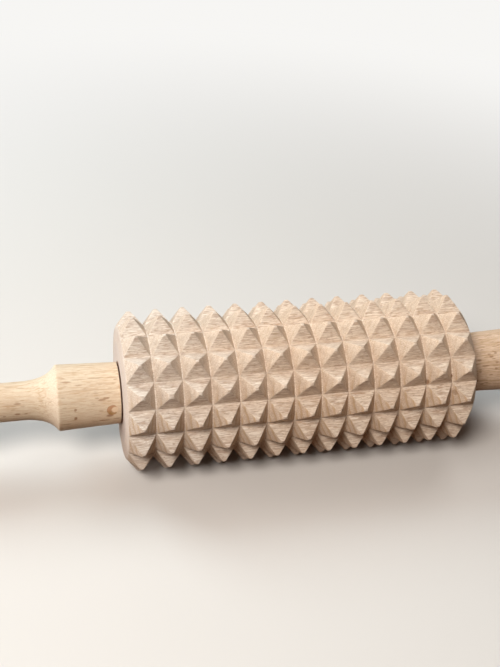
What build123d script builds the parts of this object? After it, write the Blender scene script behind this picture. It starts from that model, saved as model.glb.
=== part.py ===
# Dough docker: a spiked wooden roller that turns on an axle between two fixed handles.
# The axle lies along X through the origin, which is the roller's centre. +Z is up, and at rest a lengthwise
# groove of the roller points straight down, so it stands on the two rows of teeth beside that groove.
import os
from math import asin, cos, radians, sin

from build123d import *

os.makedirs("parts", exist_ok=True)

# Fits shared by all the pieces
running_clearance = 0.08  # radial, axle in the bushes
glue_gap = 0.03  # radial, round what is glued or pressed in
end_play = 0.15  # between a washer and the roller's end
overrun = 2.0  # how far a cut runs past the wood

# Roller: turned with ring grooves, then cut with lengthwise grooves, which leaves rows of pyramid teeth
tooth_rings = 13
teeth_around = 16
tooth_pitch = 13.5
tip_radius = 40.0
tip_length = 1.3
tip_width = 1.2
ring_groove_depth = 7.2
ring_floor_width = 0.5
row_groove_depth = 6.9
row_floor_width = 0.6
end_bevel_width = 7.8
end_bevel_depth = 0.5
bore_relief = 0.8  # the bore is wider than the axle between the bushes

# Axle: a dowel with a tenon in each handle
axle_radius = 8.0
axle_chamfer = 1.0
tenon_length = 34.0
socket_relief = 1.5  # room for glue past the end of the tenon

# Bushes, pressed into the roller's ends
bush_wall = 2.2
bush_length = 20.0

# Washers, half sunk into the roller's ends
washer_radius = 13.0
washer_thickness = 1.3
washer_seat_depth = 0.8
washer_seat_clearance = 0.5

# Handles: flared collar, crisp ridge, cove, neck and swelling grip
handle_length = 115.8
collar_length = 30.0
collar_end_radius = 15.2
ridge_radius = 16.3
cove_length = 17.0
cove_corner_share = 0.23  # where the cove's steep wall would meet the line of the neck
neck_radius = 9.5
neck_length = 8.0
swell_length = 32.0
swell_ease_share = 0.45
grip_radius = 14.2
butt_radius = 4.0
butt_ease_share = 0.62
ridge_round = 1.6
collar_edge_round = 0.4

# Pegs, driven through each handle and its tenon and sanded flush
peg_radius = 2.75
peg_inset = 4.4
peg_tilt = 7.0  # degrees above level, at the end that faces -Y

# Radii worked out from the sizes above
ring_floor_radius = tip_radius - ring_groove_depth
row_floor_radius = tip_radius - row_groove_depth
end_face_radius = ring_floor_radius - end_bevel_width
bush_radius = axle_radius + running_clearance + bush_wall
peg_reach = max(collar_end_radius, ridge_radius) + overrun

# Places along the axle, worked out from the middle of the roller
roller_rim = tooth_rings * tooth_pitch / 2 - ring_floor_width / 2
roller_face = roller_rim + end_bevel_depth
seat_face = roller_face - washer_seat_depth
washer_face = seat_face + end_play
handle_start = washer_face + washer_thickness
axle_half_length = handle_start + tenon_length


def end_plane(side, distance):
    """A plane across the axle that looks outwards at one end, side -1 for left and 1 for right."""
    return Plane(origin=(side * distance, 0, 0), x_dir=(0, 1, 0), z_dir=(side, 0, 0))


def handle_plane(side):
    """The plane of a handle's outline: X runs outwards from its inner end and Y is the radius."""
    return Plane(origin=(side * handle_start, 0, 0), x_dir=(side, 0, 0), z_dir=(0, -side, 0))


def peg_plane(side):
    """A plane across a peg, on the axle's centre line."""
    towards_face = (0, -cos(radians(peg_tilt)), sin(radians(peg_tilt)))
    return Plane(origin=(side * (handle_start + peg_inset), 0, 0), x_dir=(1, 0, 0), z_dir=towards_face)


def ring_outline():
    """The roller's turned outline above the axle: a flat-topped ridge for each ring of teeth."""
    outline = [(-roller_face, 0), (-roller_face, end_face_radius), (-roller_rim, ring_floor_radius)]
    for ring in range(tooth_rings):
        centre = (ring - (tooth_rings - 1) / 2) * tooth_pitch
        foot = (tooth_pitch - ring_floor_width) / 2
        if ring > 0:
            outline.append((centre - foot, ring_floor_radius))
        outline.append((centre - tip_length / 2, tip_radius))
        outline.append((centre + tip_length / 2, tip_radius))
        if ring < tooth_rings - 1:
            outline.append((centre + foot, ring_floor_radius))
    outline += [(roller_rim, ring_floor_radius), (roller_face, end_face_radius), (roller_face, 0)]
    with BuildSketch() as section:
        with BuildLine():
            Polyline(*outline, close=True)
        make_face()
    return section.sketch


def row_grooves():
    """The section of all the lengthwise grooves, the first one straight down."""
    tip_edge_angle = radians(180 / teeth_around) - asin(tip_width / 2 / tip_radius)
    rise_to_tip = tip_radius * cos(tip_edge_angle) - row_floor_radius
    spread_to_tip = tip_radius * sin(tip_edge_angle) - row_floor_width / 2
    mouth_height = tip_radius - row_floor_radius + overrun
    mouth_half_width = row_floor_width / 2 + mouth_height * spread_to_tip / rise_to_tip
    with BuildSketch() as groove:
        with BuildLine():
            Polyline(
                (0, -row_floor_width / 2),
                (mouth_height, -mouth_half_width),
                (mouth_height, mouth_half_width),
                (0, row_floor_width / 2),
                close=True,
            )
        make_face()
    with BuildSketch() as grooves:
        with PolarLocations(row_floor_radius, teeth_around, start_angle=-90):
            add(groove.sketch)
    return grooves.sketch


def handle_outline():
    """A handle's turned outline, from its inner end at zero outwards."""
    ridge = (collar_length, ridge_radius)
    cove_corner = (collar_length + cove_length * cove_corner_share, neck_radius)
    neck_start = collar_length + cove_length
    neck_end = neck_start + neck_length
    grip_peak = neck_end + swell_length
    ease = swell_length * swell_ease_share
    butt_ease = (handle_length - grip_peak) * butt_ease_share
    butt_drop = (grip_radius - butt_radius) * butt_ease_share
    with BuildSketch() as section:
        with BuildLine():
            Polyline((handle_length, 0), (0, 0), (0, collar_end_radius), ridge)
            Bezier(ridge, cove_corner, (neck_start, neck_radius))
            Line((neck_start, neck_radius), (neck_end, neck_radius))
            Bezier(
                (neck_end, neck_radius),
                (neck_end + ease, neck_radius),
                (grip_peak - ease, grip_radius),
                (grip_peak, grip_radius),
            )
            Bezier(
                (grip_peak, grip_radius),
                (grip_peak + butt_ease, grip_radius),
                (handle_length, butt_radius + butt_drop),
                (handle_length, butt_radius),
            )
            Line((handle_length, butt_radius), (handle_length, 0))
        make_face()
        ridge_corner = section.vertices().sort_by_distance(ridge)[0]
        fillet(ridge_corner, ridge_round)
        collar_corner = section.vertices().sort_by_distance((0, collar_end_radius))[0]
        fillet(collar_corner, collar_edge_round)
    return section.sketch


# Roller: ring grooves by turning, then the lengthwise grooves, the bore and the pockets in both ends
with BuildPart() as roller:
    with BuildSketch(Plane.XZ):
        add(ring_outline())
    revolve(axis=Axis.X)
    with BuildSketch(Plane.YZ.offset(-roller_face - overrun)):
        add(row_grooves())
    extrude(amount=2 * (roller_face + overrun), mode=Mode.SUBTRACT)
    with BuildSketch(Plane.YZ):
        Circle(axle_radius + bore_relief)
    extrude(amount=roller_face + overrun, both=True, mode=Mode.SUBTRACT)
    for side in (-1, 1):
        with BuildSketch(end_plane(side, roller_face)):
            Circle(washer_radius + washer_seat_clearance)
        extrude(amount=-washer_seat_depth, mode=Mode.SUBTRACT)
        with BuildSketch(end_plane(side, seat_face)):
            Circle(bush_radius + glue_gap)
        extrude(amount=-bush_length, mode=Mode.SUBTRACT)
roller.part.label = "roller"
export_step(roller.part, "parts/roller.step")

# Axle: a plain dowel, chamfered at both ends and drilled across for the pegs
with BuildPart() as axle:
    with BuildSketch(Plane.YZ):
        Circle(axle_radius)
    extrude(amount=axle_half_length, both=True)
    chamfer(axle.edges().filter_by(GeomType.CIRCLE), axle_chamfer)
    for side in (-1, 1):
        with BuildSketch(peg_plane(side)):
            Circle(peg_radius + glue_gap)
        extrude(amount=axle_radius + overrun, both=True, mode=Mode.SUBTRACT)
axle.part.label = "axle"
export_step(axle.part, "parts/axle.step")

# What comes in pairs: handles, pegs, bushes and washers
for side, side_name in ((-1, "left"), (1, "right")):
    with BuildPart() as handle:
        with BuildSketch(handle_plane(side)):
            add(handle_outline())
        revolve(axis=Axis.X)
        with BuildSketch(end_plane(side, handle_start)):
            Circle(axle_radius + glue_gap)
        extrude(amount=tenon_length + socket_relief, mode=Mode.SUBTRACT)
        with BuildSketch(peg_plane(side)):
            Circle(peg_radius + glue_gap)
        extrude(amount=peg_reach, both=True, mode=Mode.SUBTRACT)
    handle.part.label = "handle_" + side_name
    export_step(handle.part, "parts/handle_" + side_name + ".step")

    with BuildPart() as peg:
        with BuildSketch(peg_plane(side)):
            Circle(peg_radius)
        extrude(amount=peg_reach, both=True)
        with BuildSketch(handle_plane(side)):
            add(handle_outline())
        revolve(axis=Axis.X, mode=Mode.INTERSECT)
    peg.part.label = "peg_" + side_name
    export_step(peg.part, "parts/peg_" + side_name + ".step")

    with BuildPart() as bush:
        with BuildSketch(end_plane(side, seat_face)):
            Circle(bush_radius)
            Circle(axle_radius + running_clearance, mode=Mode.SUBTRACT)
        extrude(amount=-bush_length)
    bush.part.label = "bush_" + side_name
    export_step(bush.part, "parts/bush_" + side_name + ".step")

    with BuildPart() as washer:
        with BuildSketch(end_plane(side, washer_face)):
            Circle(washer_radius)
            Circle(axle_radius + glue_gap, mode=Mode.SUBTRACT)
        extrude(amount=washer_thickness)
    washer.part.label = "washer_" + side_name
    export_step(washer.part, "parts/washer_" + side_name + ".step")
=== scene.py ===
import math
import random

import bmesh
import bpy
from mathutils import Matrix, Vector, noise


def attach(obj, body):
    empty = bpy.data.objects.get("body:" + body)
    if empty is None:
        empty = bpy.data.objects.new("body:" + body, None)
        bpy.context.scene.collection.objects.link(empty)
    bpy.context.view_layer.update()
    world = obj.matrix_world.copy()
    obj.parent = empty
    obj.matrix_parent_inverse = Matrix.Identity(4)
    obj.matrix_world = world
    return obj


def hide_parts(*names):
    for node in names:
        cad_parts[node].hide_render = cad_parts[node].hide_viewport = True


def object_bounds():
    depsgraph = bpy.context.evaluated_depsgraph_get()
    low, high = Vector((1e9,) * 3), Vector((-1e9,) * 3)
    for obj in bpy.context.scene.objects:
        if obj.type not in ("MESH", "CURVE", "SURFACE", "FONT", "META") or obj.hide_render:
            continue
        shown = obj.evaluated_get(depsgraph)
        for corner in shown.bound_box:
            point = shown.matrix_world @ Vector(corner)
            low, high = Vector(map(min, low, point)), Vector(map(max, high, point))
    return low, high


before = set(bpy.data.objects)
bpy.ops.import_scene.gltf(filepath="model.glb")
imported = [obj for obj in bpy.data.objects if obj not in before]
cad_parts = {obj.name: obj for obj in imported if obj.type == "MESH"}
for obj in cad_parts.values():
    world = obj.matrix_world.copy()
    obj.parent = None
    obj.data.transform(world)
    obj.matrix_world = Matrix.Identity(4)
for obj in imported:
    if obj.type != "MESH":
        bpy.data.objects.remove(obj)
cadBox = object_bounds()
mm = 0.001
print("stage: frame loaded")

# View and room

photoView = {
    "place": (-131.02, -390.26, 323.84),  # mm
    "turn": (53.9397, -3.8606, -12.5651),  # degrees
    "lens": 54.946,
    "sensor": 36.0,
}

room = {
    "floorSize": 6.0,
    "floorSeen": (0.70, 0.655, 0.60),  # a little warm, because the fill lamps are cool
    "floorFade": (170.0, 620.0),  # mm from the middle, where the floor turns into the plain background
    "floorBounce": (0.10, 0.048, 0.022),  # what the wood gets back from the table
    "air": (1.0, 0.76, 0.66),
    "airLevel": 0.045,
    "airSeen": (0.93, 0.92, 0.90),
    "lamps": {
        # side is degrees round from the front towards the right, up is degrees above the floor
        "keyLamp": {"side": 320, "up": 48.5, "away": 1.1, "size": 0.42, "power": 10.1,
                    "colour": (1.0, 0.96, 0.93)},
        "leftLamp": {"side": 268, "up": 14, "away": 1.1, "size": 0.60, "power": 4.3,
                     "colour": (1.0, 0.96, 0.96)},
        "leftBackLamp": {"side": 224, "up": 43, "away": 1.1, "size": 0.60, "power": 7.3,
                         "colour": (0.74, 0.90, 1.0)},
        "rightLamp": {"side": 132, "up": 57, "away": 1.1, "size": 0.60, "power": 2.7,
                      "colour": (0.96, 0.97, 1.0)},
    },
}


def setCamera(view):
    camera = bpy.data.objects.new("photoCamera", bpy.data.cameras.new("photoCamera"))
    bpy.context.scene.collection.objects.link(camera)
    camera.location = Vector(view["place"]) * mm
    camera.rotation_euler = [math.radians(a) for a in view["turn"]]
    camera.data.lens = view["lens"]
    camera.data.sensor_width = view["sensor"]
    camera.data.clip_start = 0.02
    camera.data.clip_end = 30
    bpy.context.scene.camera = camera


def hangLamp(name, lamp):
    light = bpy.data.lights.new(name, "AREA")
    light.shape = "DISK"
    light.size = lamp["size"]
    light.energy = lamp["power"]
    light.color = lamp["colour"]
    holder = bpy.data.objects.new(name, light)
    bpy.context.scene.collection.objects.link(holder)
    side, up = math.radians(lamp["side"]), math.radians(lamp["up"])
    way = Vector((math.sin(side) * math.cos(up), -math.cos(side) * math.cos(up), math.sin(up)))
    holder.location = way * lamp["away"]
    holder.visible_camera = False
    holder.rotation_euler = way.to_track_quat("Z", "Y").to_euler()


# Shader helpers

class Wire:
    # one shader output; ordinary signs between wires and numbers add Math nodes
    def __init__(self, bench, socket):
        self.bench = bench
        self.socket = socket

    def joined(self, operation, first, second):
        return self.bench.node("ShaderNodeMath", {"operation": operation}, {0: first, 1: second})

    def __add__(self, other):
        return self.joined("ADD", self, other)

    def __radd__(self, other):
        return self.joined("ADD", other, self)

    def __sub__(self, other):
        return self.joined("SUBTRACT", self, other)

    def __rsub__(self, other):
        return self.joined("SUBTRACT", other, self)

    def __mul__(self, other):
        return self.joined("MULTIPLY", self, other)

    def __rmul__(self, other):
        return self.joined("MULTIPLY", other, self)

    def __truediv__(self, other):
        return self.joined("DIVIDE", self, other)

    def __rtruediv__(self, other):
        return self.joined("DIVIDE", other, self)

    def __abs__(self):
        return self.bench.node("ShaderNodeMath", {"operation": "ABSOLUTE"}, {0: self})


class Bench:
    # a material, or the world's own shading, being made
    def __init__(self, made, shader="Principled BSDF"):
        self.material = bpy.data.materials.new(made) if isinstance(made, str) else made
        self.material.use_nodes = True
        self.tree = self.material.node_tree
        self.shader = self.tree.nodes[shader]

    def node(self, kind, settings=None, inputs=None, out=0):
        made = self.tree.nodes.new(kind)
        for key, value in (settings or {}).items():
            if key == "stops":
                self.setStops(made.color_ramp, value)
            else:
                setattr(made, key, value)
        for key, value in (inputs or {}).items():
            if isinstance(value, Wire):
                self.tree.links.new(value.socket, made.inputs[key])
            else:
                made.inputs[key].default_value = value
        return Wire(self, made.outputs[out])

    def setStops(self, ramp, stops):
        while len(ramp.elements) < len(stops):
            ramp.elements.new(1.0)
        for element, (place, level) in zip(ramp.elements, stops):
            element.position = place
            element.color = (level, level, level, 1)

    def place(self):
        # the spot in the block of wood, in mm
        here = self.node("ShaderNodeTexCoord", out="Object")
        return self.stretched(here, (1 / mm, 1 / mm, 1 / mm))

    def stretched(self, spot, scale):
        return self.node("ShaderNodeVectorMath", {"operation": "MULTIPLY"}, {0: spot, 1: scale})

    def shifted(self, spot, step):
        return self.node("ShaderNodeVectorMath", {"operation": "ADD"}, {0: spot, 1: step})

    def part(self, spot, axis):
        return self.node("ShaderNodeSeparateXYZ", None, {"Vector": spot}, out=axis)

    def length(self, spot):
        return self.node("ShaderNodeVectorMath", {"operation": "LENGTH"}, {0: spot}, out="Value")

    def cloud(self, spot, cell, detail=2.0, rough=0.5):
        # soft noise with cells of these sizes in mm, from 0 to 1
        scaled = self.stretched(spot, tuple(1 / c for c in cell))
        return self.node("ShaderNodeTexNoise", None,
                         {"Vector": scaled, "Scale": 1.0, "Detail": detail, "Roughness": rough}, out=0)

    def grains(self, spot, cell):
        # distance to the nearest of scattered points, in cells of these sizes in mm
        scaled = self.stretched(spot, tuple(1 / c for c in cell))
        return self.node("ShaderNodeTexVoronoi", {"feature": "F1"},
                         {"Vector": scaled, "Scale": 1.0, "Randomness": 1.0}, out="Distance")

    def thinLines(self, spot, cell, width):
        # where soft noise passes its middle, 1 on the line and 0 beyond its width
        return self.eased(abs(self.cloud(spot, cell, 1.0) - 0.5), width * 0.3, width, 1.0, 0.0)

    def dots(self, spot, cell, size, core):
        # 1 in the core of each scattered dot, which is a share of its size, and 0 outside it
        return 1 - self.eased(self.grains(spot, cell), size * core, size)

    def painted(self, name):
        # a value kept with each point of the mesh
        return self.node("ShaderNodeAttribute", {"attribute_name": name}, None, out="Fac")

    def eased(self, value, low, high, start=0.0, end=1.0):
        ends = {"From Min": low, "From Max": high, "To Min": start, "To Max": end}
        return self.node("ShaderNodeMapRange", {"interpolation_type": "SMOOTHSTEP"}, {"Value": value, **ends})

    def blended(self, amount, first, second):
        colours = [c if isinstance(c, Wire) else (*c, 1) for c in (first, second)]
        return self.node("ShaderNodeMix", {"data_type": "RGBA"},
                         {0: amount, 6: colours[0], 7: colours[1]}, out=2)

    def finish(self, colour, rough, height=None, depth=0.0, shine=0.5):
        self.tree.links.new(colour.socket, self.shader.inputs["Base Color"])
        self.tree.links.new(rough.socket, self.shader.inputs["Roughness"])
        self.shader.inputs["Specular IOR Level"].default_value = shine
        if height is not None:
            bump = self.node("ShaderNodeBump", None, {"Strength": 1.0, "Distance": depth, "Height": height})
            self.tree.links.new(bump.socket, self.shader.inputs["Normal"])
        return self.material


beechGrain = {
    # low and high of the noise that shows something, and how strong it is at each
    "ringsSeen": (0.38, 0.66, 0.1, 1.0),
    "linesSeen": (0.40, 0.60, 0.15, 1.0),
    "streakRange": (0.36, 0.64),
    "patchRange": (0.35, 0.75),
    "fibreRange": (0.44, 0.66),
    "speckleRange": (0.42, 0.70),
    "crossCutRange": (0.25, 0.75),  # how far a face has to turn across the fibres to show end grain
    "fleckCore": 0.45,
    "poreCore": 0.4,
    "linesLostOnEnds": 0.7,
    "speckleAlong": 0.5,  # how much of the speckle is left on faces along the fibres
    "relief": {"fibre": 0.45, "streak": 0.25, "line": 0.3, "endGrain": 0.4, "pore": 0.4, "fleck": 0.25},
}


def beechBlock(bench, look):
    # solid beech with its fibres along X: growth rings round a far pith, streaks, ray flecks and pores
    grain, relief = beechGrain, beechGrain["relief"]
    spot = bench.shifted(bench.place(), look["block"])
    turned = bench.node("ShaderNodeVectorRotate", {"rotation_type": "X_AXIS"},
                        {"Vector": spot, "Angle": math.radians(look["quarter"])})
    drift = bench.cloud(turned, look["driftCell"], 3.0, 0.55) - 0.5
    fromPith = bench.length(bench.stretched(bench.shifted(turned, (0, 0, look["pith"])), (0, 1, 1)))
    phase = bench.node("ShaderNodeMath", {"operation": "FRACT"},
                       {0: (fromPith + drift * look["drift"]) / look["ringGap"]})
    ringLine = bench.node("ShaderNodeValToRGB", {"stops": look["ringShape"]}, {"Fac": phase})
    ringSeen = ringLine * bench.eased(bench.cloud(turned, look["ringCell"], 1.0), *grain["ringsSeen"])
    streak = bench.cloud(turned, look["streakCell"], 3.0, 0.6)
    fibre = bench.cloud(turned, look["fibreCell"], 2.0, 0.6)
    lines = bench.thinLines(turned, look["lineCell"], look["lineWidth"])
    lines = lines * bench.eased(bench.cloud(turned, look["lineBreak"], 1.0), *grain["linesSeen"])
    patch = bench.cloud(turned, look["patchCell"], 2.0, 0.5)
    flecks = bench.dots(turned, look["fleckCell"], look["fleckSize"], grain["fleckCore"])
    pores = bench.dots(turned, look["poreCell"], look["poreSize"], grain["poreCore"])
    # faces cut across the fibres show end grain: darker, warmer and speckled
    facing = bench.part(bench.node("ShaderNodeTexCoord", out="Normal"), "X")
    crossCut = bench.eased(abs(facing), *grain["crossCutRange"])
    speckle = bench.cloud(turned, look["speckleCell"], 2.0, 0.7)

    colour = bench.blended(bench.eased(streak, *grain["streakRange"]), look["pale"], look["mid"])
    colour = bench.blended(bench.eased(patch, *grain["patchRange"], 0.0, look["patch"]), colour, look["rosy"])
    colour = bench.blended(ringSeen * look["ring"], colour, look["ringTone"])
    ringsOnEnds = ringLine * crossCut * look["ringOnEnds"]
    ringsOnEnds = ringsOnEnds * bench.eased(bench.part(bench.place(), "Z"), *look["ringFade"])
    colour = bench.blended(ringsOnEnds, colour, look["endRingTone"])
    linesShown = lines * (1 - crossCut * grain["linesLostOnEnds"])
    colour = bench.blended(linesShown * look["line"], colour, look["lineTone"])
    colour = bench.blended(bench.eased(fibre, *grain["fibreRange"], 0.0, look["fibre"]), colour, look["ringTone"])
    colour = bench.blended(crossCut * look["endGrain"], colour, look["endTone"])
    speckled = bench.eased(speckle, *grain["speckleRange"], 0.0, look["speckle"])
    speckled = speckled * (grain["speckleAlong"] + crossCut * (1 - grain["speckleAlong"]))
    colour = bench.blended(speckled, colour, look["ringTone"])
    colour = bench.blended(flecks * look["fleck"], colour, look["fleckTone"])
    colour = bench.blended(pores * look["pore"], colour, look["fleckTone"])
    height = fibre * relief["fibre"] + streak * relief["streak"] - lines * relief["line"]
    height = height + crossCut * speckle * relief["endGrain"] - pores * relief["pore"] - flecks * relief["fleck"]
    return {"colour": colour, "height": height, "fibre": fibre, "pores": pores}


def woodRoughness(wood, rough):
    return rough["plain"] + wood["fibre"] * rough["fibre"] + wood["pores"] * rough["pore"]


raggedMarks = {
    "scale": (0.35, 0.9, 0.9),  # of the noise that shakes their edges, per mm
    "shake": (1.2, 0.7, 0.7),  # mm from side to side
    "core": 0.45,  # share of a mark that is fully dark
}


def addMarks(bench, colour, marks, tone):
    # small dark dashes and spots: centre, half sizes in mm, strength
    small = bench.stretched(bench.place(), raggedMarks["scale"])
    ragged = bench.node("ShaderNodeTexNoise", None, {"Vector": small, "Scale": 1.0, "Detail": 2.0}, out="Color")
    shaken = bench.node("ShaderNodeVectorMath", {"operation": "MULTIPLY_ADD"},
                        {0: ragged, 1: raggedMarks["shake"], 2: bench.place()})
    shaken = bench.shifted(shaken, tuple(-s / 2 for s in raggedMarks["shake"]))
    for centre, half, strength in marks:
        fromCentre = bench.shifted(shaken, tuple(-c for c in centre))
        away = bench.length(bench.stretched(fromCentre, tuple(1 / h for h in half)))
        colour = bench.blended(bench.eased(away, raggedMarks["core"], 1.0, strength, 0.0), colour, tone)
    return colour


# Mesh helpers

def linkLoops(faces, first, second):
    # a ring of four-sided faces between two loops of points
    for i in range(len(first)):
        j = (i + 1) % len(first)
        faces.append((first[i], first[j], second[j], second[i]))


def makePiece(name, points, faces, material, marks=None, sharp=30.0):
    mesh = bpy.data.meshes.new(name)
    mesh.from_pydata([(x * mm, y * mm, z * mm) for x, y, z in points], [], faces)
    for key, values in (marks or {}).items():
        mesh.attributes.new(key, "FLOAT", "POINT").data.foreach_set("value", values)
    work = bmesh.new()
    work.from_mesh(mesh)
    bmesh.ops.recalc_face_normals(work, faces=work.faces)
    work.to_mesh(mesh)
    work.free()
    mesh.polygons.foreach_set("use_smooth", [True] * len(mesh.polygons))
    mesh.set_sharp_from_angle(angle=math.radians(sharp))
    mesh.materials.append(material)
    piece = bpy.data.objects.new(name, mesh)
    bpy.context.scene.collection.objects.link(piece)
    return piece


def roundAbout(x, radius, angle):
    # a point at this angle from the front (-Y), counted upwards
    return (x, -radius * math.cos(angle), radius * math.sin(angle))


def wander(x, y, z, cell):
    return noise.noise(Vector((x / cell, y / cell, z / cell)))


# Spiked roller

rollerSettings = {
    "shape": {  # mm
        "rings": 13,
        "rows": 16,
        "pitch": 13.5,
        "tipRadius": 39.97,
        "tipHalfLength": 0.65,
        "tipHalfWidth": 0.6,
        "ringFloor": 32.8,
        "ringFloorSag": 0.04,
        "ringFoot": 6.5,  # half the length of a tooth at the ring floor
        "footHollow": 0.3,  # how much of the groove floor's painted light its edges have
        "rowFloor": 33.1,
        "rowFloorHalf": 0.3,
        "rowFloorSag": 0.05,
        "rim": 87.5,  # where the bevel of an end face begins
        "rimRound": 0.12,
        "rimWear": 0.4,
        "face": 87.99,
        "faceRadius": 25.0,
        "bevelShares": (0.08, 0.28, 0.48, 0.74, 1.0),
        "faceRings": (22.0, 19.0, 16.0),
        "seat": 87.2,  # bottom of the washer's pocket
        "seatRadius": 13.5,
        "seatRing": 12.0,
        "seatChamfer": (0.3, 0.2),
        "bushRadius": 10.31,
        "bushRings": (80.0, 73.0),
        "bushEnd": 67.2,
        "boreRadius": 8.8,
        "boreRings": (50.0, 25.0),
        "capLoops": ((0.5, 0.01, 0.0), (1.0, 0.035, 0.10)),  # share of the flat tip, how low, how far pulled in
        "capCorner": 0.3,
        "capPull": 0.12,
        "capWear": 0.6,
        "levels": (0.022, 0.07, 0.14, 0.24, 0.36, 0.48, 0.60, 0.72, 0.83, 0.92, 1.0),
        "sideSteps": 8,
        "cornerShare": 0.42,
        "ridgeWidth": 0.13,
        "ridgeWear": 0.06,
        "ridgeWearSwing": (0.7, 0.6),
        "ridgeWearPace": (3.1, 2.3, 1.4),  # from ring to ring, from row to row and along a ridge
        "tipDrop": 0.16,
        "brokenShare": 0.03,
        "brokenDrop": 0.45,
        "chippedShare": 0.14,
        "chipBelow": (0.2, 1.6),  # below the tip: at least, and up to how much more
        "chipSize": (0.45, 0.6),
        "chipDepth": (0.14, 0.22),
        "chipCore": 2.5,  # below the tip, the point that a chip cuts towards
        "chipEase": 0.7,
        "chipRagged": (0.8, 0.5, 0.35),  # level, swing and cell
        "wave": 0.045,
        "waveCell": 5.5,
        "fineWave": 0.022,
        "fineWaveCell": 1.3,
        "waveFrom": 14.0,  # the pockets and the bore inside this radius stay true
        "sharp": 24.0,  # degrees between faces that meet at a crisp edge
        "seed": 11,
    },
    "look": {
        "block": (31.0, 3.0, 0.0),
        "quarter": -65.0,
        "pith": 95.0,
        "driftCell": (46.0, 13.0, 13.0),
        "drift": 5.0,
        "ringGap": 2.9,
        "ringShape": ((0.0, 0.05), (0.45, 0.15), (0.82, 1.0), (1.0, 0.05)),
        "ringCell": (30.0, 7.0, 7.0),
        "streakCell": (9.0, 0.55, 0.55),
        "fibreCell": (3.6, 0.38, 0.38),
        "lineCell": (11.0, 0.85, 0.85),
        "lineWidth": 0.065,
        "lineBreak": (7.0, 2.4, 2.4),
        "patchCell": (40.0, 16.0, 16.0),
        "fleckCell": (4.6, 8.0, 0.95),
        "fleckSize": 0.26,
        "poreCell": (3.0, 0.9, 0.9),
        "poreSize": 0.24,
        "speckleCell": (1.3, 0.6, 0.6),
        "pale": (0.923, 0.785, 0.635),
        "mid": (0.723, 0.578, 0.442),
        "rosy": (0.76, 0.57, 0.42),
        "ringTone": (0.56, 0.385, 0.255),
        "fleckTone": (0.42, 0.25, 0.145),
        "lineTone": (0.50, 0.335, 0.235),
        "patch": 0.4,
        "ring": 0.12,
        "ringOnEnds": 1.0,
        "ringFade": (13.0, 23.0, 1.0, 0.25),  # heights in mm, and how strong the rings are below and above
        "endRingTone": (0.545, 0.325, 0.15),
        "fibre": 0.82,
        "line": 0.88,
        "endGrain": 0.30,
        "endTone": (0.64, 0.45, 0.30),
        "speckle": 0.42,
        "fleck": 0.25,
        "pore": 0.60,
        "paleRidges": 0.18,
        # painted light: the groove floors are made paler, like the light that they catch
        "paintedFloorLight": 0.25,
        "paintedCoolLightEnd": (-88.0, 5.0),  # mm along the axle, where the painted cool light on the left end of the roller fades out
        # painted light: the roller's colour is tinted paler and bluer towards its left end, where the cool light
        # falls
        "paintedCoolLightTint": (0.985, 1.055, 1.14),
        "faceFrom": (87.0, 87.5),  # from here outwards the wood is end face
        "facePale": 0.3,
        "faceTone": (0.87, 0.79, 0.74),
        "dull": 0.5,
        "dullRadii": (23.5, 26.0),  # mm, between which the dull middle of the face ends
        "dullTone": (0.66, 0.575, 0.53),
        # painted shade: a dark ring on the end face round the collar, standing in for the shaded gap
        "paintedGapShade": 0.9,
        "paintedGapShadeRadii": (14.9, 16.3),
        "paintedGapShadeTone": (0.21, 0.085, 0.035),
        "rough": {"plain": 0.60, "fibre": 0.18, "pore": 0.08},
        "paintedGapShadeRough": 0.3,
        "relief": 0.26,  # mm
        "shine": 0.15,
        "stainTone": (0.30, 0.155, 0.075),
        "stains": (
            ((60.85, -29.6, 14.0), (1.7, 1.5, 1.9), 1.0),
            ((73.6, -28.8, 15.8), (1.4, 1.3, 1.4), 0.95),
            ((75.6, -32.7, 8.5), (3.0, 2.2, 1.9), 0.55),
            ((-9.0, -37.0, -2.0), (1.6, 0.8, 0.8), 0.35),
            ((22.0, -20.0, 31.5), (2.2, 0.9, 0.9), 0.30),
        ),
    },
}


def toothRim(shape, radius, halfX, halfA, corner, pull):
    # one loop round a tooth, as (x, angle, is it a ridge), starting at the lower right ridge
    steps = shape["sideSteps"]
    reachX = min(corner, halfX * shape["cornerShare"])
    reachA = min(corner / radius, halfA * shape["cornerShare"])
    loop = []
    for sideX, sideA, alongX in ((1, -1, False), (1, 1, True), (-1, 1, False), (-1, -1, True)):
        loop.append((sideX * (halfX - pull), sideA * (halfA - pull / radius), 1.0))
        for step in range(steps - 1):
            share = step / (steps - 2)
            if alongX:
                x = sideX * (halfX - reachX) * (1 - 2 * share)
                loop.append((x, sideA * halfA, 0.0))
            else:
                a = sideA * (halfA - reachA) * (1 - 2 * share)
                loop.append((sideX * halfX, a, 0.0))
    return loop


def endRings(shape):
    # from the rim of an end face over the face, the washer's pocket and the bush's pocket to the middle
    rim, face, seat = shape["rim"], shape["face"], shape["seat"]
    deep, pocket, bushEnd = shape["ringFloor"], shape["seatRadius"], shape["bushEnd"]
    chamferOut, chamferIn = shape["seatChamfer"]
    rings = []
    for share in shape["bevelShares"]:
        rings.append((rim + (face - rim) * share, deep + (shape["faceRadius"] - deep) * share))
    rings += [(face, radius) for radius in (*shape["faceRings"], pocket + chamferOut)]
    rings += [(face - chamferIn, pocket), (seat, pocket), (seat, shape["seatRing"])]
    rings += [(x, shape["bushRadius"]) for x in (seat, *shape["bushRings"], bushEnd)]
    rings += [(x, shape["boreRadius"]) for x in (bushEnd, *shape["boreRings"], 0.0)]
    return rings


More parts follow.
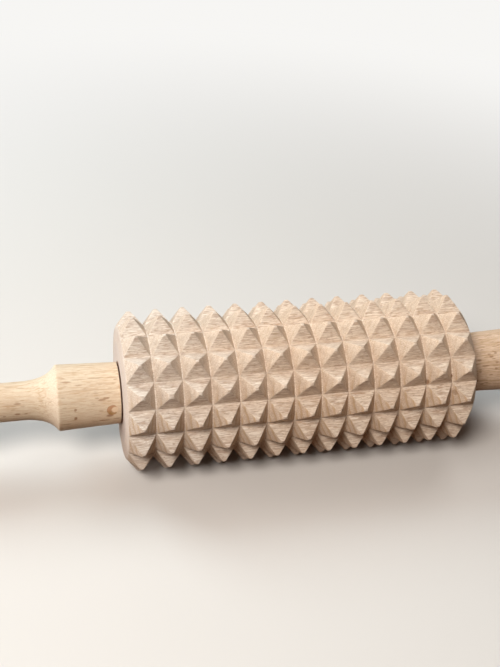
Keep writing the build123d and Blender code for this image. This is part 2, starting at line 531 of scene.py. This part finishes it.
def rollerMesh(shape, material):
    dice = random.Random(shape["seed"])
    noise.seed_set(shape["seed"])  # for the waves
    rows, rings, pitch = shape["rows"], shape["rings"], shape["pitch"]
    rowHalf = math.pi / rows
    tipA = math.asin(shape["tipHalfWidth"] / shape["tipRadius"])
    tipAt = (shape["tipRadius"] * math.cos(tipA), shape["tipRadius"] * math.sin(tipA))
    low, side = shape["rowFloor"], shape["rowFloorHalf"]
    footAt = (low * math.cos(rowHalf) + side * math.sin(rowHalf),
              low * math.sin(rowHalf) - side * math.cos(rowHalf))
    floorRadius = math.hypot(*footAt)
    points, faces, wear, hollow = [], [], [], []

    def addPoint(x, radius, angle, worn=0.0, deep=0.0):
        points.append(roundAbout(x, radius, angle))
        wear.append(worn)
        hollow.append(deep)
        return len(points) - 1

    def halfAngle(radius):
        # where the flank of a lengthwise groove is at this radius
        dx, dy = footAt[0] - tipAt[0], footAt[1] - tipAt[1]
        a = dx * dx + dy * dy
        b = 2 * (tipAt[0] * dx + tipAt[1] * dy)
        c = tipAt[0] ** 2 + tipAt[1] ** 2 - radius ** 2
        t = (-b - math.sqrt(max(b * b - 4 * a * c, 0))) / (2 * a)
        return math.atan2(tipAt[1] + t * dy, tipAt[0] + t * dx)

    def halfLength(radius):
        fall = (shape["tipRadius"] - radius) / (shape["tipRadius"] - shape["ringFloor"])
        return shape["tipHalfLength"] + fall * (shape["ringFoot"] - shape["tipHalfLength"])

    def ridgePull(ring, row, radius):
        level, swing = shape["ridgeWearSwing"]
        spot = Vector([n * pace for n, pace in zip((ring, row, radius), shape["ridgeWearPace"])])
        return shape["ridgeWear"] * (level + swing * noise.noise(spot))

    def drawn(least, more):
        return least + more * dice.random()

    feet = {}
    for ring in range(rings):
        middle = (ring - (rings - 1) / 2) * pitch
        for row in range(rows):
            phi = -math.pi / 2 + (row + 0.5) * 2 * rowHalf
            drop = dice.random() ** 2 * shape["tipDrop"]
            if dice.random() < shape["brokenShare"]:
                drop = shape["brokenDrop"] * drawn(0.5, 0.5)
            top = shape["tipRadius"] - drop
            chip = None
            if dice.random() < shape["chippedShare"]:
                nearest, farther = shape["chipBelow"]
                at = top - nearest - farther * dice.random() ** 2
                sx, sa = dice.choice(((1, 1), (1, -1), (-1, 1), (-1, -1)))
                along = dice.choice((0.0, 1.0))
                chip = (middle + sx * halfLength(at) * (1 - 0.5 * along), at, phi + sa * halfAngle(at))
                chipSize, chipDepth = drawn(*shape["chipSize"]), drawn(*shape["chipDepth"])
            start = len(points)
            crown = addPoint(middle, top, phi)
            loops = []
            for share, sink, trim in shape["capLoops"]:
                capX, capA = halfLength(top) * share - trim, halfAngle(top) * share - trim / top
                loop = toothRim(shape, top, capX, capA, shape["capCorner"], shape["capPull"] * share)
                worn = shape["capWear"] * share
                loops.append([addPoint(middle + x, top - sink, phi + a, worn) for x, a, _ in loop])
            for level in shape["levels"]:
                radius = top - level * (top - floorRadius)
                pull = ridgePull(ring, row, radius) if level < 1 else 0.0
                loop = toothRim(shape, radius, halfLength(radius), halfAngle(radius), shape["ridgeWidth"], pull)
                loops.append([addPoint(middle + x, radius, phi + a, worn) for x, a, worn in loop])
            for i in range(len(loops[0])):
                faces.append((crown, loops[0][i], loops[0][(i + 1) % len(loops[0])]))
            for first, second in zip(loops, loops[1:]):
                linkLoops(faces, first, second)
            feet[ring, row] = loops[-1]
            if chip:
                hit = Vector(roundAbout(*chip))
                core = Vector(roundAbout(middle, top - shape["chipCore"], phi))
                level, swing, cell = shape["chipRagged"]
                for i in range(start, len(points)):
                    p = Vector(points[i])
                    near = 1 - (p - hit).length / chipSize
                    if near > 0:
                        depth = chipDepth * near ** shape["chipEase"] * (level + swing * wander(*points[i], cell))
                        points[i] = tuple(p + (core - p).normalized() * depth)

    steps = shape["sideSteps"]
    # floors of the lengthwise grooves, between one row of teeth and the next
    grooveEnds = {}
    for ring in range(rings):
        for row in range(rows):
            after = (row + 1) % rows
            upper = feet[ring, row][steps:2 * steps + 1]  # from right to left along the upper side
            lower = feet[ring, after]
            lower = [lower[0]] + lower[:2 * steps + steps - 1:-1]
            lower = lower[:steps + 1]
            phi = -math.pi / 2 + (row + 1) * 2 * rowHalf
            middleLine = []
            for i in upper:
                middleLine.append(addPoint(points[i][0], low - shape["rowFloorSag"], phi, 0.0, 1.0))
            for i in range(len(upper) - 1):
                faces.append((upper[i], upper[i + 1], middleLine[i + 1], middleLine[i]))
                faces.append((middleLine[i], middleLine[i + 1], lower[i + 1], lower[i]))
            grooveEnds[ring, row] = (middleLine[0], middleLine[-1])

    def girdle(ring, onRight):
        # all the points round the roller at one end of a ring of teeth, from the lowest row upwards
        found = []
        for row in range(rows):
            foot = feet[ring, row]
            if onRight:
                found += foot[:steps + 1]
            else:
                left = foot[2 * steps:3 * steps + 1]
                found += left[::-1]
            found.append(grooveEnds[ring, row][0 if onRight else 1])
        return found

    def hoop(pattern, x, radius, worn=0.0, deep=0.0):
        # the same angles again at another place
        made = []
        for i in pattern:
            angle = math.atan2(points[i][2], -points[i][1])
            made.append(addPoint(x, radius, angle, worn, deep))
        return made

    foot, deepest = shape["ringFoot"], shape["ringFloor"]
    for ring in range(rings - 1):
        middle = (ring - (rings - 1) / 2) * pitch
        first = girdle(ring, True)
        second = hoop(first, middle + foot, deepest, 0.0, shape["footHollow"])
        third = hoop(first, middle + pitch / 2, deepest - shape["ringFloorSag"], 0.0, 1.0)
        fourth = hoop(first, middle + pitch - foot, deepest, 0.0, shape["footHollow"])
        last = girdle(ring + 1, False)
        for a, b in ((first, second), (second, third), (third, fourth), (fourth, last)):
            linkLoops(faces, a, b)
    bores = []
    for way in (-1, 1):
        ring = 0 if way < 0 else rings - 1
        previous = girdle(ring, way > 0)
        pattern = previous
        edge = hoop(pattern, way * ((rings - 1) / 2 * pitch + foot - shape["rimRound"]), deepest, shape["rimWear"])
        linkLoops(faces, previous, edge)
        previous = edge
        for x, radius in endRings(shape)[:-1]:
            following = hoop(pattern, way * x, radius)
            linkLoops(faces, previous, following)
            previous = following
        bores.append(previous)
    linkLoops(faces, *bores)

    for i, (x, y, z) in enumerate(points):
        if math.hypot(y, z) < shape["waveFrom"]:
            continue
        p = Vector((x, y, z))
        fine = shape["fineWave"] * noise.noise_vector(p / shape["fineWaveCell"])
        p += shape["wave"] * noise.noise_vector(p / shape["waveCell"]) + fine
        over = max(math.hypot(p.y, p.z) / shape["tipRadius"], 1.0)
        points[i] = (max(-shape["face"], min(shape["face"], p.x)), p.y / over, p.z / over)
    return makePiece("spikedRoller", points, faces, material, {"wear": wear, "hollow": hollow}, shape["sharp"])


def rollerWood(look):
    bench = Bench("rawBeech")
    wood = beechBlock(bench, look)
    colour = addMarks(bench, wood["colour"], look["stains"], look["stainTone"])
    colour = bench.blended(bench.painted("wear") * look["paleRidges"], colour, look["pale"])
    # painted light on the groove floors
    colour = bench.blended(bench.painted("hollow") * look["paintedFloorLight"], colour, look["pale"])
    here = bench.place()
    along = bench.part(here, "X")
    # painted cool light: paler and bluer towards the left end of the roller
    paintedCoolLightFade = bench.eased(along, *look["paintedCoolLightEnd"], 1.0, 0.0)
    colour = bench.node("ShaderNodeMix", {"data_type": "RGBA", "blend_type": "MULTIPLY"},
                        {0: paintedCoolLightFade, 6: colour, 7: (*look["paintedCoolLightTint"], 1)}, out=2)
    # the end faces: duller towards the middle, and a ring of painted shade round the collar, where the gap lies in
    # shade
    onFace = bench.eased(abs(along), *look["faceFrom"])
    fromAxle = bench.length(bench.stretched(here, (0, 1, 1)))
    dull = onFace * bench.eased(fromAxle, *look["dullRadii"], look["dull"], 0.0)
    # painted shade in the gap round the collar
    paintedGapShade = onFace * bench.eased(fromAxle, *look["paintedGapShadeRadii"], 1.0, 0.0)
    colour = bench.blended(onFace * look["facePale"], colour, look["faceTone"])
    colour = bench.blended(dull, colour, look["dullTone"])
    colour = bench.blended(paintedGapShade * look["paintedGapShade"], colour, look["paintedGapShadeTone"])
    rough = woodRoughness(wood, look["rough"]) + paintedGapShade * look["paintedGapShadeRough"]
    return bench.finish(colour, rough, wood["height"], look["relief"] * mm, look["shine"])


# Turned handles and their pegs

handleSettings = {
    "shape": {  # mm
        "start": 88.65,  # from the roller's middle
        "length": 115.8,
        "collarLength": 30.0,
        "collarRadius": 15.2,
        "ridgeRadius": 16.3,
        "coveLength": 17.0,
        "coveCorner": 0.23,
        "neckRadius": 9.5,
        "neckLength": 8.0,
        "swellLength": 32.0,
        "swellEase": 0.45,
        "gripRadius": 14.2,
        "buttRadius": 4.0,
        "buttEase": 0.62,
        "ridgeRound": 1.6,
        "ridgeRings": 8,
        "edgeRound": 0.4,
        "edgeRings": 4,
        "socketRadius": 8.03,
        "socketDepth": 35.5,
        "socketRings": (30.0, 25.0, 20.0, 15.0, 11.0),
        "socketChamfer": 0.3,
        "faceRings": (10.5, 12.5),
        "collarRings": (0.7, 9.3, 0.95, 21),  # the first, the next beyond the hole, step and count
        "coveRings": 30,
        "swellRings": 34,
        "buttRings": 40,
        "buttFaceRings": (2.6, 1.2),
        "around": 144,
        "pegInset": 4.4,
        "pegRadius": 2.745,
        "pegTilt": 7.0,
        "holeRadius": 2.81,
        "holeReachX": 3.6,
        "holeStepsX": 12,
        "holeStepsA": 24,
        "holeShares": (0.35, 0.65, 0.85, 0.95, 1.0),
        "toolMark": 0.012,
        "toolMarkPace": 1.7,  # per mm
        "handWave": 0.03,
        "handWaveCell": 17.0,
        "handWavePace": 1.6,  # round the handle
        "undersize": 0.02,  # keeps the waves inside the plain outline
        "sharp": 28.0,
    },
    "look": {
        "quarter": 62.0,
        "pith": 60.0,
        "driftCell": (60.0, 14.0, 14.0),
        "drift": 4.0,
        "ringGap": 2.4,
        "ringShape": ((0.0, 0.05), (0.5, 0.2), (0.85, 1.0), (1.0, 0.05)),
        "ringCell": (50.0, 6.0, 6.0),
        "streakCell": (13.0, 0.95, 0.95),
        "fibreCell": (6.0, 0.55, 0.55),
        "lineCell": (20.0, 1.4, 1.4),
        "lineWidth": 0.055,
        "lineBreak": (8.0, 2.6, 2.6),
        "patchCell": (50.0, 14.0, 14.0),
        "fleckCell": (8.0, 12.0, 1.6),
        "fleckSize": 0.20,
        "poreCell": (3.2, 0.6, 0.6),
        "poreSize": 0.24,
        "speckleCell": (1.2, 0.6, 0.6),
        "pale": (0.785, 0.655, 0.48),
        "mid": (0.722, 0.58, 0.415),
        "rosy": (0.74, 0.53, 0.36),
        "ringTone": (0.60, 0.395, 0.225),
        "fleckTone": (0.40, 0.215, 0.105),
        "lineTone": (0.52, 0.33, 0.19),
        "patch": 0.4,
        "ring": 0.30,
        "ringOnEnds": 0.0,
        "ringFade": (11.0, 21.0, 1.0, 1.0),
        "endRingTone": (0.60, 0.395, 0.225),
        "fibre": 0.50,
        "line": 0.58,
        "endGrain": 0.30,
        "endTone": (0.92, 0.80, 0.66),
        "speckle": 0.36,
        "fleck": 0.40,
        "pore": 0.15,
        "markTone": (0.33, 0.16, 0.075),
        "rough": {"plain": 0.54, "fibre": 0.18, "pore": 0.12},
        "relief": 0.10,  # mm
        "shine": 0.30,
    },
    "left": {
        "hand": -1,
        "block": (-40.0, 8.0, -4.0),
        "look": {},
        "marks": (
            ((-97.9, -13.5, 7.5), (2.3, 0.8, 0.62), 0.70),
            ((-95.6, -13.3, 8.1), (2.3, 0.8, 0.62), 0.70),
            ((-100.2, -13.1, 8.5), (1.5, 0.6, 0.50), 0.40),
            ((-108.6, -8.4, 13.5), (2.3, 0.6, 0.50), 0.40),
            ((-105.5, -10.1, 12.1), (2.0, 0.6, 0.50), 0.25),
            ((-92.1, -5.5, 14.2), (5.0, 0.6, 0.35), 0.30),
            ((-100.3, -5.5, 14.6), (6.0, 0.6, 0.35), 0.40),
            ((-108.3, -5.8, 14.8), (5.0, 0.6, 0.35), 0.30),
            ((-114.1, -6.7, 14.6), (3.6, 0.7, 0.45), 0.60),
            ((-94.3, -15.3, -1.1), (2.3, 1.0, 1.1), 0.80),
            ((-110.7, -15.5, 4.1), (0.9, 0.9, 1.1), 0.70),
            ((-110.8, -16.0, -0.6), (1.0, 0.9, 1.2), 0.85),
            ((-97.1, -14.9, -4.3), (3.6, 0.8, 0.55), 0.85),
            ((-101.5, -14.9, -4.4), (2.5, 0.6, 0.40), 0.50),
            ((-91.0, -14.8, -3.9), (2.4, 0.6, 0.50), 0.60),
            ((-114.7, -15.7, -4.0), (2.8, 0.7, 0.55), 0.65),
            ((-90.7, -6.4, 13.8), (1.5, 0.5, 0.50), 0.50),
            ((-137.3, -8.1, 4.9), (2.2, 0.7, 0.60), 0.60),
            ((-137.7, -9.5, -0.2), (1.9, 0.7, 0.70), 0.80),
            ((-143.9, -9.4, -1.0), (1.2, 0.6, 0.60), 0.60),
            ((-133.8, -9.5, -0.3), (1.0, 0.6, 0.60), 0.45),
            ((-141.2, -0.4, 9.5), (2.6, 0.6, 0.40), 0.35),
            ((-135.6, -1.7, 9.3), (2.8, 0.6, 0.45), 0.30),
        ),
    },
    "right": {
        "hand": 1,
        "block": (40.0, -2.0, 4.0),
        "look": {  # it was turned from rougher, darker wood
            "pale": (0.84, 0.635, 0.46),
            "mid": (0.70, 0.49, 0.325),
            "rosy": (0.72, 0.49, 0.35),
            "fleckCell": (6.5, 8.0, 1.3),
            "fleckSize": 0.24,
            "fleck": 0.75,
            "line": 0.95,
            "fibre": 0.8,
            "pore": 0.55,
        },
        "marks": (
            ((97.4, -11.7, 10.2), (1.7, 0.7, 0.7), 0.75),
            ((104.2, -11.0, 11.2), (1.6, 0.6, 0.5), 0.8),
            ((103.0, -9.8, 12.3), (1.3, 0.5, 0.45), 0.6),
            ((106.7, -9.7, 12.5), (1.2, 0.6, 0.5), 0.7),
            ((100.8, -13.6, 7.6), (3.0, 0.6, 0.5), 0.8),
            ((107.1, -13.0, 9.0), (1.3, 0.6, 0.55), 0.6),
            ((106.6, -14.6, 6.2), (1.1, 0.7, 0.7), 0.7),
            ((96.9, -15.5, -0.4), (1.0, 0.9, 0.8), 0.85),
            ((102.1, -15.5, -2.2), (1.8, 0.6, 0.55), 0.65),
            ((97.8, -14.7, 4.8), (1.0, 0.8, 0.9), 0.5),
            ((112.0, -14.5, 7.0), (1.8, 0.5, 0.5), 0.5),
            ((139.0, -8.2, 4.6), (1.7, 0.5, 0.5), 0.55),
            ((160.0, -9.0, 8.6), (2.4, 0.5, 0.5), 0.45),
        ),
    },
    "axleBlock": (12.0, 9.0, -6.0),
}


def curvePoints(corners, steps):
    # a Bezier curve through its first and last corner
    made = []
    for step in range(steps + 1):
        line, t = list(corners), step / steps
        while len(line) > 1:
            line = [(a[0] + (b[0] - a[0]) * t, a[1] + (b[1] - a[1]) * t) for a, b in zip(line, line[1:])]
        made.append(line[0])
    return made


def roundedCorner(before, corner, after, radius, steps):
    # an arc of this radius where two straight runs meet
    a = (Vector(before) - Vector(corner)).normalized()
    b = (Vector(after) - Vector(corner)).normalized()
    half = a.angle(b) / 2
    reach = radius / math.tan(half)
    centre = Vector(corner) + (a + b).normalized() * radius / math.sin(half)
    first, last = Vector(corner) + a * reach, Vector(corner) + b * reach
    made = []
    for step in range(steps + 1):
        spoke = (first - centre).slerp(last - centre, step / steps)  # comes back one unit long
        made.append(tuple(centre + spoke * radius))
    return made


def collarRadiusAt(shape, x):
    slope = (shape["ridgeRadius"] - shape["collarRadius"]) / shape["collarLength"]
    return shape["collarRadius"] + x * slope


def handleProfile(shape):
    # outline from the bottom of the socket to the butt, as (distance from the inner end, radius)
    collarR, ridgeR, neckR, gripR = (shape[part + "Radius"] for part in ("collar", "ridge", "neck", "grip"))
    collarX, endX = shape["collarLength"], shape["length"]
    neckX = collarX + shape["coveLength"]
    swellX = neckX + shape["neckLength"]
    peakX = swellX + shape["swellLength"]
    ridge = (collarX, ridgeR)
    socket, depth, chamfer = shape["socketRadius"], shape["socketDepth"], shape["socketChamfer"]
    inset, reach, steps = shape["pegInset"], shape["holeReachX"], shape["holeStepsX"]
    holeRun = [inset + reach - 2 * reach * i / steps for i in range(steps + 1)]
    firstRing, nextRing, ringStep, ringCount = shape["collarRings"]

    outline = [(depth, 0), (depth, socket * 0.5), (depth, socket)]
    outline += [(x, socket) for x in shape["socketRings"]]
    socketHole = (len(outline), len(outline) + steps)
    outline += [(x, socket) for x in holeRun]
    outline += [(chamfer, socket), (0, socket + chamfer)] + [(0, radius) for radius in shape["faceRings"]]
    outline += roundedCorner((0, 0), (0, collarR), ridge, shape["edgeRound"], shape["edgeRings"])
    outline.append((firstRing, collarRadiusAt(shape, firstRing)))
    outerHole = (len(outline), len(outline) + steps)
    outline += [(x, collarRadiusAt(shape, x)) for x in holeRun[::-1]]
    outline += [(x, collarRadiusAt(shape, x)) for x in [nextRing + ringStep * i for i in range(ringCount)]]
    coveCorner = (collarX + shape["coveLength"] * shape["coveCorner"], neckR)
    cove = curvePoints((ridge, coveCorner, (neckX, neckR)), shape["coveRings"])
    outline += roundedCorner((0, collarR), ridge, cove[2], shape["ridgeRound"], shape["ridgeRings"])
    outline += [p for p in cove[3:] if p[0] > outline[-1][0] + 0.2]
    outline += [(neckX + 1.0 * i, neckR) for i in range(1, int(shape["neckLength"]))]
    ease = shape["swellLength"] * shape["swellEase"]
    swell = ((swellX, neckR), (swellX + ease, neckR), (peakX - ease, gripR), (peakX, gripR))
    outline += curvePoints(swell, shape["swellRings"])
    buttEase = (endX - peakX) * shape["buttEase"]
    buttDrop = (gripR - shape["buttRadius"]) * shape["buttEase"]
    butt = ((peakX, gripR), (peakX + buttEase, gripR), (endX, shape["buttRadius"] + buttDrop),
            (endX, shape["buttRadius"]))
    outline += curvePoints(butt, shape["buttRings"])[1:]
    outline += [(endX, radius) for radius in (*shape["buttFaceRings"], 0)]
    return outline, socketHole, outerHole


def turnedSkin(shape, hand, x, radius, angle):
    # the small unevenness of hand turning and sanding, everywhere but in the socket
    if radius <= shape["socketRadius"] + 0.5:
        return radius
    pace = shape["handWavePace"]
    ripple = shape["toolMark"] * noise.noise(Vector((x * shape["toolMarkPace"], hand * 5.0, 0.0)))
    spot = (x / shape["handWaveCell"], math.cos(angle) * pace + hand * 9.0, math.sin(angle) * pace)
    return radius + (ripple + shape["handWave"] * noise.noise(Vector(spot)) - shape["undersize"])


def handleMesh(shape, hand, material, name):
    # hand is -1 for the left and 1 for the right
    outline, socketHole, outerHole = handleProfile(shape)
    around = shape["around"]
    tilt = math.radians(shape["pegTilt"])
    step = 2 * math.pi / around
    points, faces = [], []

    def addPoint(x, radius, angle):
        skin = turnedSkin(shape, hand, x, radius, angle)
        points.append(roundAbout(hand * (shape["start"] + x), skin, angle))
        return len(points) - 1

    firstPole = addPoint(*outline[0], 0.0)
    grid = [[addPoint(x, r, tilt + j * step) for j in range(around)] for x, r in outline[1:-1]]
    lastPole = addPoint(*outline[-1], 0.0)
    for j in range(around):
        faces.append((firstPole, grid[0][j], grid[0][(j + 1) % around]))
        faces.append((lastPole, grid[-1][j], grid[-1][(j + 1) % around]))
    wide = shape["holeStepsA"] // 2
    cutOut = set()
    for rows in (socketHole, outerHole):
        for middle in (0, around // 2):
            for i in range(rows[0] - 1, rows[1] - 1):
                for j in range(middle - wide, middle + wide):
                    cutOut.add((i, j % around))
    for i in range(len(grid) - 1):
        for j in range(around):
            if (i, j) not in cutOut:
                k = (j + 1) % around
                faces.append((grid[i][j], grid[i][k], grid[i + 1][k], grid[i + 1][j]))

    def holeEdge(rows, middle, radiusAt):
        # rings of faces from a square opening in the grid down to the round hole
        low, high = rows[0] - 1, rows[1] - 1
        track = [(i, middle - wide) for i in range(low, high)]
        track += [(high, j) for j in range(middle - wide, middle + wide)]
        track += [(i, middle + wide) for i in range(high, low, -1)]
        track += [(low, j) for j in range(middle + wide, middle - wide, -1)]
        corners = [(outline[i + 1][0], (j - middle) * step) for i, j in track]
        bearings = [math.atan2(a * radiusAt(x), x - shape["pegInset"]) for x, a in corners]
        loops = [[grid[i][j % around] for i, j in track]]
        for share in shape["holeShares"]:
            loop = []
            for (x, a), bearing in zip(corners, bearings):
                edgeX = shape["pegInset"] + shape["holeRadius"] * math.cos(bearing)
                across = shape["holeRadius"] * math.sin(bearing) / radiusAt(edgeX)
                edgeA = math.asin(across)
                px, pa = x + (edgeX - x) * share, a + (edgeA - a) * share
                loop.append(addPoint(px, radiusAt(px), tilt + middle * step + pa))
            loops.append(loop)
        for first, second in zip(loops, loops[1:]):
            linkLoops(faces, first, second)
        return loops[-1], bearings

    for middle in (0, around // 2):
        outer, outerBearings = holeEdge(outerHole, middle, lambda x: collarRadiusAt(shape, x))
        inner, innerBearings = holeEdge(socketHole, middle, lambda x: shape["socketRadius"])
        # match the two rims by their bearing round the hole
        outer = [p for _, p in sorted(zip(outerBearings, outer))]
        inner = [p for _, p in sorted(zip(innerBearings, inner))]
        for i in range(len(outer)):
            j = (i + 1) % len(outer)
            faces.append((outer[i], outer[j], inner[j], inner[i]))
    return makePiece(name, points, faces, material, sharp=shape["sharp"])


def handleWood(look, marks, name, block):
    bench = Bench(name)
    wood = beechBlock(bench, {**look, "block": block})
    colour = addMarks(bench, wood["colour"], marks, look["markTone"])
    rough = woodRoughness(wood, look["rough"])
    return bench.finish(colour, rough, wood["height"], look["relief"] * mm, look["shine"])


pegSettings = {
    "loops": 9,
    "around": 72,
    "lengthSteps": 12,
    "rimDrop": 0.02,  # mm that the rim lies under the collar
    "unevenness": 0.01,
    "sharp": 40.0,
    "pale": (0.80, 0.61, 0.42),
    "deep": (0.62, 0.42, 0.25),
    "glue": (0.47, 0.24, 0.12),
    "glueLow": (0.37, 0.19, 0.065),
    # in peg radii, with minus towards the roller
    "cleanPatch": (-0.42, 0.06, 0.46),  # middle and radius of the patch that the glue left clean
    "cleanEdge": 0.22,
    "glueFrom": (-0.95, -0.5),
    "lowFrom": (-0.2, 0.5),
    "speckCell": (0.5, 3.0, 0.4),
    "blotchCell": (1.4, 4.0, 1.2),
    "relief": 0.05,  # mm
    "shine": 0.35,
}


def pegMesh(shape, peg, hand, material, name):
    # a dowel whose two ends follow the collar, a hair under flush at the rim
    tilt = math.radians(shape["pegTilt"])
    around, lengthSteps = peg["around"], peg["lengthSteps"]
    points, faces, glue, low = [], [], [], []
    cleanX, cleanZ, cleanR = peg["cleanPatch"]

    def eased(value, start, end):
        t = max(0.0, min(1.0, (value - start) / (end - start)))
        return t * t * (3 - 2 * t)

    def endPoint(share, bearing, turn):
        x = shape["pegInset"] + shape["pegRadius"] * share * math.cos(bearing)
        skin = collarRadiusAt(shape, x)
        angle = math.asin(shape["pegRadius"] * share * math.sin(bearing) / skin)
        skin = turnedSkin(shape, hand, x, skin, tilt + turn + angle)
        skin -= peg["rimDrop"] * share ** 8 + peg["unevenness"] * noise.noise(Vector((x * 2, share * 3, bearing)))
        points.append(roundAbout(hand * (shape["start"] + x), skin, tilt + turn + angle))
        across, up = share * math.cos(bearing), share * math.sin(bearing) * (1 if turn == 0 else -1)
        away = math.hypot(across - cleanX, up - cleanZ)
        glue.append(eased(away, cleanR, cleanR + peg["cleanEdge"]) * eased(across, *peg["glueFrom"]))
        low.append(eased(-up, *peg["lowFrom"]))
        return len(points) - 1

    rims = []
    for turn in (0.0, math.pi):
        centre = endPoint(0.0, 0.0, turn)
        loops = []
        for ring in range(1, peg["loops"] + 1):
            share = ring / peg["loops"]
            loops.append([endPoint(share, 2 * math.pi * k / around, turn) for k in range(around)])
        for k in range(around):
            faces.append((centre, loops[0][k], loops[0][(k + 1) % around]))
        for first, second in zip(loops, loops[1:]):
            linkLoops(faces, first, second)
        rims.append(loops[-1])
    near, far = rims
    # seen from the other side the bearing runs the other way
    far = [far[-k % around] for k in range(around)]
    last = near
    for step in range(1, lengthSteps):
        loop = []
        for k in range(around):
            a, b = Vector(points[near[k]]), Vector(points[far[k]])
            points.append(tuple(a.lerp(b, step / lengthSteps)))
            glue.append(1.0)
            low.append(1.0)
            loop.append(len(points) - 1)
        linkLoops(faces, last, loop)
        last = loop
    linkLoops(faces, last, far)
    return makePiece(name, points, faces, material, {"glue": glue, "low": low}, sharp=peg["sharp"])


def pegWood(peg, name):
    # end grain with fine specks, and a brown crescent where glue soaked in
    bench = Bench(name)
    spot = bench.place()
    specks = bench.cloud(spot, peg["speckCell"], 3.0, 0.6)
    blotch = bench.cloud(spot, peg["blotchCell"], 2.0, 0.5)
    colour = bench.blended(bench.eased(specks, 0.35, 0.7, 0.0, 0.6), peg["pale"], peg["deep"])
    soaked = bench.blended(bench.painted("low"), peg["glue"], peg["glueLow"])
    colour = bench.blended(bench.painted("glue") * bench.eased(blotch, 0.2, 0.6, 0.6, 0.95), colour, soaked)
    return bench.finish(colour, 0.5 + specks * 0.2, specks, peg["relief"] * mm, peg["shine"])


# Plain nylon for the bushes and washers, and the dowel for the axle

nylonSettings = {
    "mottleCell": (3.0, 3.0, 3.0),
    "turningPace": 6.0,
    "tone": (0.80, 0.78, 0.71),
    "shade": (0.70, 0.675, 0.60),
    # painted shade: dark brown on the washers' rims, which lie in the shaded gap between roller and collar
    "paintedRimShade": (0.13, 0.05, 0.022),
    "paintedRimShadeFrom": (12.2, 12.8),  # mm from the axle's middle: only the washers reach this far
    "rough": 0.42,
    "relief": 0.04,  # mm
    "shine": 0.5,
}


def paleNylon(look):
    bench = Bench("paleNylon")
    spot = bench.place()
    mottle = bench.cloud(spot, look["mottleCell"], 3.0, 0.6)
    fromAxle = bench.length(bench.stretched(spot, (0, 1, 1)))
    turning = bench.node("ShaderNodeTexNoise", {"noise_dimensions": "1D"},
                         {"W": fromAxle, "Scale": look["turningPace"], "Detail": 2.0})
    colour = bench.blended(mottle * 0.7, look["tone"], look["shade"])
    # painted shade on the washers' rims
    colour = bench.blended(bench.eased(fromAxle, *look["paintedRimShadeFrom"], 0.0, 0.9), colour, look["paintedRimShade"])
    height = turning * 0.7 + mottle * 0.3
    return bench.finish(colour, look["rough"] + mottle * 0.12, height, look["relief"] * mm, look["shine"])


def dress(nodeName, material):
    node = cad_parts[nodeName]
    node.data.materials.clear()
    node.data.materials.append(material)


setCamera(photoView)
for lampName, lamp in room["lamps"].items():
    hangLamp(lampName, lamp)
print("stage: camera and lamps")

barrel = rollerMesh(rollerSettings["shape"], rollerWood(rollerSettings["look"]))
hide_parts("roller")
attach(barrel, "roller")
print("stage: spiked roller,", len(barrel.data.polygons), "faces")

for side in ("left", "right"):
    own, shape, ending = handleSettings[side], handleSettings["shape"], side.capitalize()
    look = {**handleSettings["look"], **own["look"]}
    wood = handleWood(look, own["marks"], "turnedBeech" + ending, own["block"])
    handle = handleMesh(shape, own["hand"], wood, "turnedHandle" + ending)
    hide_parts("handle_" + side)
    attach(handle, "spindle")
    peg = pegMesh(shape, pegSettings, own["hand"], pegWood(pegSettings, "pegBeech" + ending), "crossPeg" + ending)
    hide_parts("peg_" + side)
    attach(peg, "spindle")
print("stage: handles and pegs")

nylon = paleNylon(nylonSettings)
for nodeName in ("bush_left", "bush_right", "washer_left", "washer_right"):
    dress(nodeName, nylon)
dress("axle", handleWood(handleSettings["look"], (), "axleBeech", handleSettings["axleBlock"]))
print("stage: axle, bushes and washers")


def seenDirectly(bench):
    # 1 for what the camera sees, straight, in a shine or through something clear
    seen = bench.node("ShaderNodeLightPath", None, None, out="Is Camera Ray")
    for way in ("Is Glossy Ray", "Is Transmission Ray"):
        other = bench.node("ShaderNodeLightPath", None, None, out=way)
        seen = bench.node("ShaderNodeMath", {"operation": "MAXIMUM"}, {0: seen, 1: other})
    return seen


def paleFloor(settings):
    # the camera sees a pale floor; light that goes on to the object leaves it as from a darker table
    bench = Bench("paleFloor")
    spot = bench.place()
    seen = seenDirectly(bench)
    mottle = bench.cloud(spot, (240.0, 240.0, 240.0), 3.0, 0.6)
    darker = tuple(0.9 * c for c in settings["floorSeen"])
    pale = bench.blended(mottle * 0.06, settings["floorSeen"], darker)
    colour = bench.blended(seen, settings["floorBounce"], pale)
    material = bench.finish(colour, 0.75 + mottle * 0.1, None, 0.0, 0.1)
    far = bench.eased(bench.length(spot), *settings["floorFade"]) * seen
    glow = bench.node("ShaderNodeEmission", None, {"Color": (*settings["airSeen"], 1)})
    lit = Wire(bench, bench.shader.outputs[0])
    faded = bench.node("ShaderNodeMixShader", None, {0: far, 1: lit, 2: glow})
    bench.tree.links.new(faded.socket, bench.tree.nodes["Material Output"].inputs["Surface"])
    return material


def layFloor(settings, level):
    half = settings["floorSize"] / 2
    mesh = bpy.data.meshes.new("studioFloor")
    corners = [(-half, -half, level), (half, -half, level), (half, half, level), (-half, half, level)]
    mesh.from_pydata(corners, [], [(0, 1, 2, 3)])
    mesh.materials.append(paleFloor(settings))
    floor = bpy.data.objects.new("studioFloor", mesh)
    bpy.context.scene.collection.objects.link(floor)


def fillAir(settings):
    world = bpy.data.worlds.new("studioAir")
    bpy.context.scene.world = world
    bench = Bench(world, "Background")
    bench.shader.inputs["Color"].default_value = (*settings["airSeen"], 1)
    plain = Wire(bench, bench.shader.outputs[0])
    light = bench.node("ShaderNodeBackground", None,
                       {"Color": (*settings["air"], 1), "Strength": settings["airLevel"]})
    mixed = bench.node("ShaderNodeMixShader", None, {0: seenDirectly(bench), 1: light, 2: plain})
    bench.tree.links.new(mixed.socket, bench.tree.nodes["World Output"].inputs["Surface"])


layFloor(room, cadBox[0].z)
fillAir(room)
bpy.context.scene.view_settings.view_transform = "Standard"
print("stage: floor and air")
